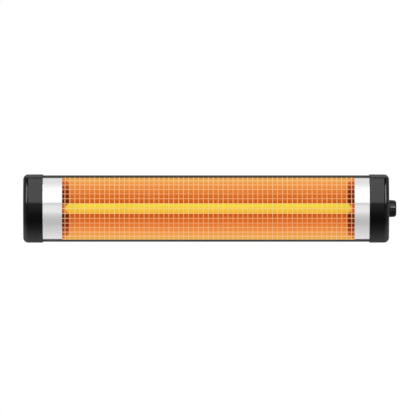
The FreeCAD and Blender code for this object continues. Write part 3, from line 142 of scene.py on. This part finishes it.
class Finish:
    """A procedural material: one Principled shader and the nodes that feed it."""

    def __init__(self, name, values):
        self.material = bpy.data.materials.new(name)
        self.material.use_nodes = True
        self.tree = self.material.node_tree
        self.shader = self.tree.nodes["Principled BSDF"]
        self.place = self.tree.nodes.new("ShaderNodeTexCoord").outputs["Object"]
        for socket, value in values.items():
            self.set(socket, value)

    def set(self, socket, source):
        """Feed one of the shader's own sockets."""
        self.feed(self.shader.inputs[socket], source)

    def feed(self, socket, source):
        """Join a socket to another, or give it a plain value."""
        if isinstance(source, bpy.types.NodeSocket):
            self.tree.links.new(source, socket)
        else:
            socket.default_value = source

    def node(self, kind, output, inputs, **settings):
        """Add a node, feed its inputs and return one of its outputs."""
        made = self.tree.nodes.new("ShaderNode" + kind)
        for name, setting in settings.items():
            setattr(made, name, setting)
        for name, source in inputs.items():
            self.feed(made.inputs[name], source)
        return made.outputs[output]

    def noise(self, scale, detail=3.0):
        """Noise with features about 1 / scale metres long on each axis."""
        where = self.node("Mapping", "Vector", {"Vector": self.place, "Scale": scale})
        return self.node("TexNoise", "Fac", {"Vector": where, "Scale": 1.0, "Detail": detail})

    def cells(self, scale):
        """Distance to the middle of irregular cells about 1 / scale metres wide."""
        return self.node("TexVoronoi", "Distance", {"Vector": self.place, "Scale": scale})

    def math(self, operation, first, second=0.0):
        """One step of arithmetic on one or two numbers."""
        made = self.tree.nodes.new("ShaderNodeMath")
        made.operation = operation
        self.feed(made.inputs[0], first)
        self.feed(made.inputs[1], second)
        return made.outputs["Value"]

    def span(self, factor, from_low, from_high, low, high):
        """Map a number from one range to another, held at its ends."""
        return self.node("MapRange", "Result", {
            "Value": factor, "From Min": from_low, "From Max": from_high,
            "To Min": low, "To Max": high,
        })

    def spread(self, noise, low, high):
        """Spread a noise between two numbers."""
        return self.span(noise, NOISE_LOW, NOISE_HIGH, low, high)

    def ramp(self, factor, *stops):
        """Colours along a factor; each stop is a position and a colour."""
        made = self.tree.nodes.new("ShaderNodeValToRGB")
        elements = made.color_ramp.elements
        while len(elements) < len(stops):
            elements.new(1.0)
        for element, (position, colour) in zip(elements, stops):
            element.position = position
            element.color = (*colour, 1.0)
        self.feed(made.inputs["Fac"], factor)
        return made.outputs["Color"]

    def axis(self, source, name):
        """One of the three numbers of a place or direction."""
        return self.node("SeparateXYZ", name, {"Vector": source})

    def height_from_middle(self):
        """Distance above or below the heater's middle."""
        return self.math("ABSOLUTE", self.axis(self.place, "Z"))

    def scaled(self, colour, factor):
        """A colour times a number."""
        made = self.tree.nodes.new("ShaderNodeVectorMath")
        made.operation = "SCALE"
        self.feed(made.inputs["Vector"], colour)
        self.feed(made.inputs["Scale"], factor)
        return made.outputs["Vector"]

    def colour(self, factor, dark, light):
        """Base colour that drifts between two tones."""
        self.set("Base Color", self.ramp(factor, (NOISE_LOW, dark), (NOISE_HIGH, light)))

    def gloss(self, factor, low, high):
        """Roughness that drifts between two values."""
        self.set("Roughness", self.spread(factor, low, high))

    def relief(self, height, depth):
        """Fine surface shape, as deep as stated."""
        bump = {"Height": height, "Distance": depth, "Strength": 1.0}
        self.set("Normal", self.node("Bump", "Normal", bump))


def even(value):
    """The same number three times: a scale on all axes, or a grey."""
    return (value, value, value)


def housing_paint():
    """Satin powder coat with a fine orange peel."""
    finish = Finish("housing_paint", {"Specular IOR Level": 0.35})
    peel = finish.noise(even(700))
    finish.colour(finish.noise(even(9)), (0.022, 0.021, 0.021), (0.034, 0.033, 0.033))
    finish.gloss(peel, 0.36, 0.5)
    finish.relief(peel, 0.00010)
    return finish.material


def cap_plastic():
    """Glossy black moulding with a faint ripple, greyed low and at its ends by painted reflection, dusty
    on top with a painted sheen.
    """
    finish = Finish("cap_plastic", {"Specular IOR Level": 0.06})
    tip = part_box("right_end_cap")[1]
    height = finish.axis(finish.place, "Z")
    reach = finish.math("ABSOLUTE", finish.axis(finish.place, "X"))
    begins, full = (share * tip.z for share in CAP_DUST_AND_SHEEN)
    # Dust on top: rougher, and lighter in colour as a painted sheen
    dust = finish.span(height, begins, full, 0.0, 1.0)
    # Painted reflection: greyer towards the bottom and across the rounded ends
    painted_low_reflection = finish.span(height, -tip.z, CAP_PAINTED_LOW_REFLECTION * tip.z, 1.0, 0.0)
    painted_end_reflection = finish.span(reach, tip.x - CAP_ROUND, tip.x, 0.0, 0.7)
    # Random tone, to which the dust, the painted sheen and the painted reflection are added
    tone_dust_and_painted_light = finish.spread(finish.noise(even(14)), -0.05, 0.05)
    for more in (dust, painted_low_reflection, painted_end_reflection):
        tone_dust_and_painted_light = finish.math("ADD", tone_dust_and_painted_light, more)
    finish.set("Base Color", finish.ramp(
        tone_dust_and_painted_light, (0.05, even(0.0012)), (0.35, even(0.008)), (0.75, even(0.034)), (1.0, even(0.058))))
    polish = finish.spread(finish.noise(even(420)), 0.08, 0.13)
    finish.set("Roughness", finish.math("ADD", polish, finish.span(dust, 0.0, 1.0, 0.0, 0.7)))
    finish.relief(finish.noise(even(160)), 0.00002)
    return finish.material


def polished_band():
    """Bright sheet with faint polishing lines round the crown, and a painted reflection: darker above,
    bright along its foot.
    """
    finish = Finish("polished_band", {"Metallic": 1.0})
    low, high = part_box("left_trim_band")
    lines = finish.noise((2600, 40, 40))
    streak = finish.spread(lines, -0.03, 0.03)
    level = finish.span(finish.axis(finish.place, "Z"), low.z, high.z, 0.0, 1.0)
    # Painted reflection: the base colour is brightest along the foot and darker towards the top
    finish.set("Base Color", finish.ramp(
        finish.math("ADD", level, streak),
        (0.03, even(0.87)), (0.15, even(0.77)), (0.35, even(0.80)), (0.95, even(0.74))))
    finish.gloss(lines, 0.07, 0.12)
    finish.relief(lines, 0.000002)
    return finish.material


def grille_wire():
    """Bright wire with a painted glow of the tube behind it: yellow before the tube, and palest along the
    lips.
    """
    finish = Finish("grille_wire", {"Metallic": 1.0, "Emission Strength": 1.0})
    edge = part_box("grille_cross_wires")[1].z
    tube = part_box("quartz_tube")[1].z / edge
    tint = finish.noise(even(60))
    finish.colour(tint, (0.32, 0.18, 0.10), (0.38, 0.22, 0.13))
    share = finish.span(finish.height_from_middle(), 0.0, edge, 0.0, 1.0)
    drift = finish.math("ADD", share, finish.spread(tint, -0.02, 0.02))
    # Painted glow: emission stands in for the tube's light on the wires
    finish.set("Emission Color", finish.ramp(
        drift, (0.8 * tube, (0.57, 0.46, 0.150)), (2.6 * tube, (0.54, 0.25, 0.095)),
        (0.85, (0.69, 0.42, 0.20))))
    scuff = finish.noise(even(900))
    finish.gloss(scuff, 0.45, 0.58)
    finish.relief(scuff, 0.00002)
    return finish.material


def reflector_sheet():
    """Aluminium with a painted glow of the tube: deep orange beside it, gold near the lips, painted shade
    under the upper one.
    """
    finish = Finish("reflector_sheet", {"Metallic": 1.0, "Emission Strength": 1.0})
    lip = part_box("reflector")[1].z
    rolled = finish.noise((3, 500, 500))
    share = finish.span(finish.height_from_middle(), 0.0, lip, 0.0, 1.0)
    drift = finish.math("ADD", share, finish.spread(rolled, -0.03, 0.03))
    # Painted glow: emission that stands in for the tube's light on the trough's front faces
    glow = finish.ramp(drift, (0.12, (0.39, 0.040, 0.004)), (0.45, (0.53, 0.122, 0.020)),
                       (0.75, (0.66, 0.260, 0.058)), (0.95, (0.60, 0.375, 0.090)))
    normal = finish.node("NewGeometry", "Normal", {})
    faces_front = finish.span(finish.axis(normal, "Y"), -0.05, 0.05, 1.0, 0.0)
    # Painted shade under the upper lip
    flange = lip - REFLECTOR_FLANGE
    shade = finish.span(finish.axis(finish.place, "Z"), flange, flange + SHADE_EDGE, 1.0, SHADE_GLOW)
    finish.set("Emission Color", finish.scaled(glow, finish.math("MULTIPLY", faces_front, shade)))
    # The orange base colour is painted glow too, not the aluminium's own colour
    finish.colour(rolled, (0.22, 0.075, 0.022), (0.27, 0.100, 0.030))
    finish.gloss(rolled, 0.30, 0.42)
    finish.relief(rolled, 0.00004)
    return finish.material


def bulkhead_steel():
    """Heat-stained steel, dark round the tube's entry, with painted orange light beside the tube and near
    the reflector's edges.
    """
    finish = Finish("bulkhead_steel", {"Metallic": 1.0})
    stain = finish.noise(even(45))
    share = finish.span(finish.height_from_middle(), 0.0, TROUGH_HALF, 0.0, 1.0)
    drift = finish.math("ADD", share, finish.spread(stain, -0.03, 0.03))
    # Painted light: the orange next to the tube and towards top and bottom stands in for the glow of tube
    # and reflector
    finish.set("Base Color", finish.ramp(
        drift, (0.10, (0.70, 0.200, 0.080)), (0.18, (0.17, 0.024, 0.011)),
        (0.55, (0.27, 0.040, 0.016)), (0.75, (0.50, 0.12, 0.030)), (0.95, (0.80, 0.32, 0.070))))
    finish.gloss(stain, 0.5, 0.65)
    finish.relief(finish.noise(even(500)), 0.00003)
    return finish.material


def quartz():
    """Milky quartz with the coil's light through it as a painted glow: yellow above, amber below."""
    finish = Finish("quartz", {"Alpha": 0.9, "Emission Strength": 0.87, "Specular IOR Level": 0.2})
    low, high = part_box("quartz_tube")
    cloud = finish.noise((12, 120, 120))
    level = finish.span(finish.axis(finish.place, "Z"), low.z, high.z, 0.0, 1.0)
    drift = finish.math("ADD", level, finish.spread(cloud, -0.04, 0.04))
    # Painted glow: emission stands in for the coil's light seen through the tube
    finish.set("Emission Color", finish.ramp(
        drift, (0.1, (0.77, 0.42, 0.025)), (0.5, (0.73, 0.50, 0.025)), (0.85, (0.70, 0.62, 0.026))))
    finish.colour(cloud, (0.24, 0.14, 0.02), (0.30, 0.18, 0.03))
    finish.gloss(cloud, 0.10, 0.18)
    finish.relief(cloud, 0.00005)
    return finish.material


def heating_wire():
    """Hot resistance wire, brighter in patches."""
    finish = Finish("heating_wire", {"Emission Strength": 1.0})
    patch = finish.noise(even(120))
    finish.set("Emission Color", finish.ramp(
        patch, (NOISE_LOW, (1.0, 0.50, 0.05)), (NOISE_HIGH, (1.0, 0.78, 0.16))))
    finish.colour(patch, (0.35, 0.12, 0.03), (0.5, 0.2, 0.05))
    scale = finish.noise(even(1500))
    finish.gloss(scale, 0.5, 0.7)
    finish.relief(scale, 0.00002)
    return finish.material


def socket_ceramic():
    """Unglazed ceramic with fine specks."""
    finish = Finish("socket_ceramic", {"Specular IOR Level": 0.3})
    specks = finish.noise(even(1100), 5.0)
    finish.colour(specks, (0.70, 0.66, 0.58), (0.84, 0.81, 0.74))
    finish.gloss(specks, 0.55, 0.75)
    finish.relief(specks, 0.00005)
    return finish.material


def terminal_brass():
    """Turned brass with fine tool rings."""
    finish = Finish("terminal_brass", {"Metallic": 1.0})
    rings = finish.noise((2500, 60, 60))
    finish.colour(rings, (0.62, 0.45, 0.19), (0.78, 0.60, 0.30))
    finish.gloss(rings, 0.25, 0.42)
    finish.relief(rings, 0.000004)
    return finish.material


def grommet_rubber():
    """Matt black rubber, dusty in patches."""
    finish = Finish("grommet_rubber", {"Specular IOR Level": 0.25})
    dust = finish.noise(even(500))
    finish.colour(dust, (0.012, 0.012, 0.012), (0.030, 0.029, 0.028))
    finish.gloss(dust, 0.7, 0.9)
    finish.relief(dust, 0.00005)
    return finish.material


def lead_sleeve():
    """Glass-fibre sleeve: a tight diagonal weave."""
    finish = Finish("lead_sleeve", {"Specular IOR Level": 0.3})
    turned = finish.node("Mapping", "Vector", {"Vector": finish.place, "Scale": (-1.0, 1.0, 1.0)})
    there, back = (
        finish.node("TexWave", "Fac", {"Vector": way, "Scale": WEAVE_SCALE}, bands_direction="DIAGONAL")
        for way in (finish.place, turned))
    weave = finish.math("MULTIPLY", there, back)
    finish.set("Base Color", finish.ramp(
        weave, (0.0, (0.42, 0.38, 0.30)), (0.6, (0.72, 0.68, 0.59))))
    finish.gloss(weave, 0.6, 0.8)
    finish.relief(weave, 0.0001)
    return finish.material


def inner_plastic():
    """Matt heat-proof moulding with a mineral speck."""
    finish = Finish("inner_plastic", {"Specular IOR Level": 0.35})
    specks = finish.noise(even(1500), 5.0)
    finish.colour(specks, (0.50, 0.48, 0.43), (0.66, 0.64, 0.59))
    finish.gloss(specks, 0.5, 0.66)
    finish.relief(specks, 0.00003)
    return finish.material


def knob_plastic():
    """Black knob moulding, finer and a little duller than the caps."""
    finish = Finish("knob_plastic", {"Specular IOR Level": 0.07})
    grain = finish.noise(even(1300))
    finish.colour(finish.noise(even(60)), (0.006, 0.006, 0.0062), (0.013, 0.013, 0.0135))
    finish.gloss(grain, 0.24, 0.36)
    finish.relief(grain, 0.00002)
    return finish.material


def pointer_plastic():
    """Pale grey inlay, slightly soiled."""
    finish = Finish("pointer_plastic", {"Specular IOR Level": 0.4})
    soil = finish.noise(even(700))
    finish.colour(soil, (0.20, 0.20, 0.20), (0.30, 0.30, 0.29))
    finish.gloss(soil, 0.4, 0.55)
    finish.relief(soil, 0.00002)
    return finish.material


def gland_plastic():
    """Black nylon with a fine spark-eroded texture."""
    finish = Finish("gland_plastic", {"Specular IOR Level": 0.35})
    grain = finish.noise(even(1800))
    finish.colour(grain, (0.012, 0.012, 0.013), (0.026, 0.026, 0.027))
    finish.gloss(grain, 0.42, 0.58)
    finish.relief(grain, 0.00004)
    return finish.material


def plated_steel():
    """Zinc plate with its cloudy crystals."""
    finish = Finish("plated_steel", {"Metallic": 1.0})
    crystals = finish.cells(900)
    finish.set("Base Color", finish.ramp(
        crystals, (0.0, (0.50, 0.51, 0.53)), (0.7, (0.68, 0.68, 0.69))))
    finish.set("Roughness", finish.span(crystals, 0.0, 0.7, 0.28, 0.45))
    finish.relief(crystals, 0.00002)
    return finish.material


FINISHES = (
    housing_paint, cap_plastic, polished_band, grille_wire, reflector_sheet, bulkhead_steel, quartz,
    heating_wire, socket_ceramic, terminal_brass, grommet_rubber, lead_sleeve, inner_plastic,
    knob_plastic, pointer_plastic, gland_plastic, plated_steel,
)


def dress(materials):
    """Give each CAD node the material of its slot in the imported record."""
    for row in frame["record"]["subparts"]:
        mesh = frame["nodes"][row["node"]].data
        mesh.materials.clear()
        mesh.materials.append(materials[row["material_slot"]])


def link(name, data):
    """Put a mesh, camera or lamp into the scene as an object."""
    made = bpy.data.objects.new(name, data)
    bpy.context.scene.collection.objects.link(made)
    return made


def tube_mesh(name, points, radius):
    """Closed round tube along a line of points, each ring carried on from the last untwisted."""
    verts = []
    faces = []
    ways = [(after - before).normalized() for before, after in zip(points, points[1:])]
    ways = [ways[0]] + [(one + two).normalized() for one, two in zip(ways, ways[1:])] + [ways[-1]]
    side = ways[0].orthogonal().normalized()
    for point, way in zip(points, ways):
        side = (side - way * side.dot(way)).normalized()
        across = way.cross(side)
        for step in range(WIRE_SIDES):
            angle = 2 * math.pi * step / WIRE_SIDES
            verts.append(point + (side * math.cos(angle) + across * math.sin(angle)) * radius)
    for ring in range(len(points) - 1):
        for step in range(WIRE_SIDES):
            following = (step + 1) % WIRE_SIDES
            first = ring * WIRE_SIDES
            second = first + WIRE_SIDES
            faces.append((first + step, first + following, second + following, second + step))
    faces.append(tuple(reversed(range(WIRE_SIDES))))
    faces.append(tuple(range(len(verts) - WIRE_SIDES, len(verts))))
    mesh = bpy.data.meshes.new(name)
    mesh.from_pydata(verts, [], faces)
    mesh.shade_smooth()
    return mesh


def heating_coil(material):
    """The wound wire inside the tube, with its turns, pitch and straight ends as in the frame."""
    low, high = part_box("heating_coil")
    middle = (low + high) / 2
    radius = (high.z - low.z) / 2 - COIL_WIRE_RADIUS
    steps = COIL_TURNS * COIL_STEPS_PER_TURN
    rise = (high.x - low.x - 2 * COIL_END) / steps
    points = [Vector((low.x, middle.y + radius, middle.z))]
    for step in range(steps + 1):
        angle = 2 * math.pi * step / COIL_STEPS_PER_TURN
        points.append(Vector((
            low.x + COIL_END + rise * step,
            middle.y + radius * math.cos(angle),
            middle.z + radius * math.sin(angle),
        )))
    points.append(Vector((high.x, middle.y + radius, middle.z)))
    mesh = tube_mesh("hot_coil", points, COIL_WIRE_RADIUS)
    mesh.materials.append(material)
    coil = link("hot_coil", mesh)
    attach(coil, "heater")
    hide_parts("heating_coil")


def grille_welds(material):
    """A small bead of weld at each crossing of the grille's wires."""
    low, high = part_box("grille_cross_wires")
    first = low.x + GRILLE_WIRE_RADIUS
    pitch = (high.x - low.x - 2 * GRILLE_WIRE_RADIUS) / (CROSS_WIRES - 1)
    turn = pitch / LONG_WIRE_RADIUS
    shape = bmesh.new()
    for row in range(LONG_WIRES):
        angle = turn * (row - (LONG_WIRES - 1) / 2)
        size = Matrix.Diagonal((WELD_WIDTH, WELD_THICKNESS, WELD_WIDTH, 1.0))
        lean = Matrix.Rotation(-angle, 4, "X") @ size
        for column in range(CROSS_WIRES):
            spot = Vector((
                first + pitch * column,
                CROWN_CENTRE - CROWN_RADIUS * math.cos(angle),
                CROWN_RADIUS * math.sin(angle),
            ))
            bmesh.ops.create_icosphere(
                shape, subdivisions=1, radius=1.0, matrix=Matrix.Translation(spot) @ lean)
    mesh = bpy.data.meshes.new("grille_welds")
    shape.to_mesh(mesh)
    shape.free()
    mesh.shade_smooth()
    mesh.materials.append(material)
    welds = link("grille_welds", mesh)
    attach(welds, "heater")


def place_camera():
    """Camera square to the grille, as in the photograph."""
    data = bpy.data.cameras.new("camera")
    data.sensor_width = SENSOR_WIDTH
    data.lens = SENSOR_WIDTH * CAMERA_DISTANCE / PHOTO_WIDTH
    camera = link("camera", data)
    camera.location = (CAMERA_SIDE, HEATER_PLANE - CAMERA_DISTANCE, CAMERA_HEIGHT)
    camera.rotation_euler = (math.pi / 2, 0, 0)
    bpy.context.scene.camera = camera


def seen_directly(tree):
    """One for camera, glossy and transmission rays, nought for the light that falls on surfaces."""
    path = tree.nodes.new("ShaderNodeLightPath")
    total = path.outputs["Is Camera Ray"]
    for name in ("Is Glossy Ray", "Is Transmission Ray"):
        greater = tree.nodes.new("ShaderNodeMath")
        greater.operation = "MAXIMUM"
        tree.links.new(total, greater.inputs[0])
        tree.links.new(path.outputs[name], greater.inputs[1])
        total = greater.outputs["Value"]
    return total


def light_world():
    """Even light from all round, white where it is seen directly."""
    world = bpy.data.worlds.new("studio")
    world.use_nodes = True
    tree = world.node_tree
    fill = tree.nodes["Background"]
    fill.inputs["Color"].default_value = (1.0, 1.0, 1.0, 1.0)
    fill.inputs["Strength"].default_value = FILL_STRENGTH
    white = tree.nodes.new("ShaderNodeBackground")
    white.inputs["Color"].default_value = (1.0, 1.0, 1.0, 1.0)
    mix = tree.nodes.new("ShaderNodeMixShader")
    tree.links.new(seen_directly(tree), mix.inputs["Fac"])
    tree.links.new(fill.outputs["Background"], mix.inputs[1])
    tree.links.new(white.outputs["Background"], mix.inputs[2])
    tree.links.new(mix.outputs["Shader"], tree.nodes["World Output"].inputs["Surface"])
    bpy.context.scene.world = world


def paper():
    """Matt pale paper with a painted pool of light below the heater, fading into the white ground further
    out, clear from below.
    """
    finish = Finish("paper", {
        "Roughness": 0.9, "Specular IOR Level": 0.1, "Emission Color": (1, 1, 1, 1),
    })
    reach = finish.node("VectorMath", "Value", {"Vector": finish.place}, operation="LENGTH")
    tooth = finish.spread(finish.noise(even(30)), -0.002, 0.002)
    share = finish.math("ADD", finish.span(reach, -FLOOR_LEVEL, FADE_END, 0.0, 1.0), tooth)
    # Painted pool of light: brightest close below the heater, darker outwards, where the white takes over
    finish.set("Base Color", finish.ramp(
        share, (0.0, even(0.95)), (0.12, even(0.58)), (1.0, even(0.0))))
    fade = finish.span(reach, FADE_START, FADE_END, 0.0, 1.0)
    finish.set("Emission Strength", finish.math("MULTIPLY", fade, seen_directly(finish.tree)))
    from_below = finish.node("NewGeometry", "Backfacing", {})
    finish.set("Alpha", finish.math("SUBTRACT", 1.0, from_below))
    return finish.material


def make_floor():
    """Plain pale floor under the heater, below the photograph's frame."""
    corners = [(-1, -1), (1, -1), (1, 1), (-1, 1)]
    mesh = bpy.data.meshes.new("floor")
    mesh.from_pydata(
        [(x * FLOOR_HALF, y * FLOOR_HALF, FLOOR_LEVEL) for x, y in corners], [], [(0, 1, 2, 3)])
    mesh.materials.append(paper())
    link("floor", mesh)


def area_lamp(name, away, size, radiance):
    """Soft lamp turned to the heater; its power follows from its radiance and size."""
    data = bpy.data.lights.new(name, "AREA")
    data.shape = "RECTANGLE"
    data.size, data.size_y = size
    data.energy = radiance * math.pi * size[0] * size[1]
    lamp = link(name, data)
    lamp.location = Vector((0, HEATER_PLANE, 0)) + away
    lamp.rotation_euler = (-away).to_track_quat("-Z", "Y").to_euler()
    lamp.visible_camera = False
    return lamp


def grade(lamp, dark, full):
    """Let a lamp's light grow from nothing at one share of its height to all of it at another."""
    lamp.data.use_nodes = True
    tree = lamp.data.node_tree
    geometry = tree.nodes.new("ShaderNodeNewGeometry")
    place = tree.nodes.new("ShaderNodeSeparateXYZ")
    tree.links.new(geometry.outputs["Parametric"], place.inputs["Vector"])
    growth = tree.nodes.new("ShaderNodeMapRange")
    tree.links.new(place.outputs["Y"], growth.inputs["Value"])
    growth.inputs["From Min"].default_value = dark
    growth.inputs["From Max"].default_value = full
    tree.links.new(growth.outputs["Result"], tree.nodes["Emission"].inputs["Strength"])


def card(name, away, size, radiance):
    """A lamp that shows only in the gloss of the black mouldings, and lights nothing."""
    lamp = area_lamp(name, away, size, radiance)
    lamp.visible_diffuse = False
    mirrors = bpy.data.collections.new(name + "_mirrors")
    for node in BLACK_NODES:
        mirrors.objects.link(frame["nodes"][node])
    lamp.light_linking.receiver_collection = mirrors
    return lamp


def box_between(edges, distance):
    """Where a soft box or card stands and its size, for the angles of its lower and upper edges."""
    low, high = (math.radians(edge) for edge in edges)
    tilt = (low + high) / 2
    away = Vector((0, -math.cos(tilt), math.sin(tilt))) * distance
    return away, (BOX_WIDTH, 2 * distance * math.tan((high - low) / 2))


def painted_rim_reflection(low, high):
    """Black sheet that thins out downwards between two heights, a painted dark reflection."""
    finish = Finish("box_rim", {
        "Base Color": (0, 0, 0, 1), "Roughness": 1.0, "Specular IOR Level": 0.0,
    })
    height = finish.axis(finish.place, "Z")
    finish.set("Alpha", finish.span(height, low, high, 0.0, RIM_DARKNESS))
    return finish.material


def box_rim():
    """Lower rim of the soft box, seen in gloss only as a painted dark reflection."""
    low, high = (math.radians(edge) for edge in RIM_EDGES)
    corners = []
    for side, angle in ((-1, low), (1, low), (1, high), (-1, high)):
        corners.append((
            side * BOX_WIDTH / 2,
            HEATER_PLANE - RIM_DISTANCE * math.cos(angle),
            RIM_DISTANCE * math.sin(angle),
        ))
    mesh = bpy.data.meshes.new("box_rim")
    mesh.from_pydata(corners, [], [(0, 1, 2, 3)])
    mesh.materials.append(painted_rim_reflection(corners[0][2], corners[2][2]))
    rim = link("box_rim", mesh)
    rim.visible_camera = False
    rim.visible_diffuse = False
    rim.visible_shadow = False


def light_studio():
    """A soft box, whose lower edge is the line across caps and bands, two strips, and the cards."""
    soft_box = area_lamp("soft_box", *box_between(BOX_EDGES, BOX_DISTANCE), BOX_RADIANCE)
    grade(soft_box, 1.0, BOX_FADE)
    box_rim()
    near = BOX_DISTANCE * CARD_SHARE
    card("soft_box_card", *box_between(BOX_CARD_EDGES, near), BOX_CARD_RADIANCE)
    dim_card = card("dim_card", *box_between(DIM_CARD_EDGES, DIM_CARD_DISTANCE), DIM_CARD_RADIANCE)
    grade(dim_card, 0.0, 1.0)
    bearing = math.radians(STRIP_BEARING)
    for name, side in (("left_strip", -1), ("right_strip", 1)):
        away = Vector((side * math.sin(bearing), -math.cos(bearing), 0)) * STRIP_DISTANCE
        away.z = STRIP_HEIGHT
        area_lamp(name, away, STRIP_SIZE, STRIP_RADIANCE)
        card(name + "_card", away * CARD_SHARE, STRIP_SIZE, STRIP_CARD_RADIANCE)


place_camera()
light_world()
light_studio()
make_floor()
materials = {make.__name__: make() for make in FINISHES}
dress(materials)
heating_coil(materials["heating_wire"])
grille_welds(materials["grille_wire"])
bpy.context.scene.view_settings.view_transform = "Standard"
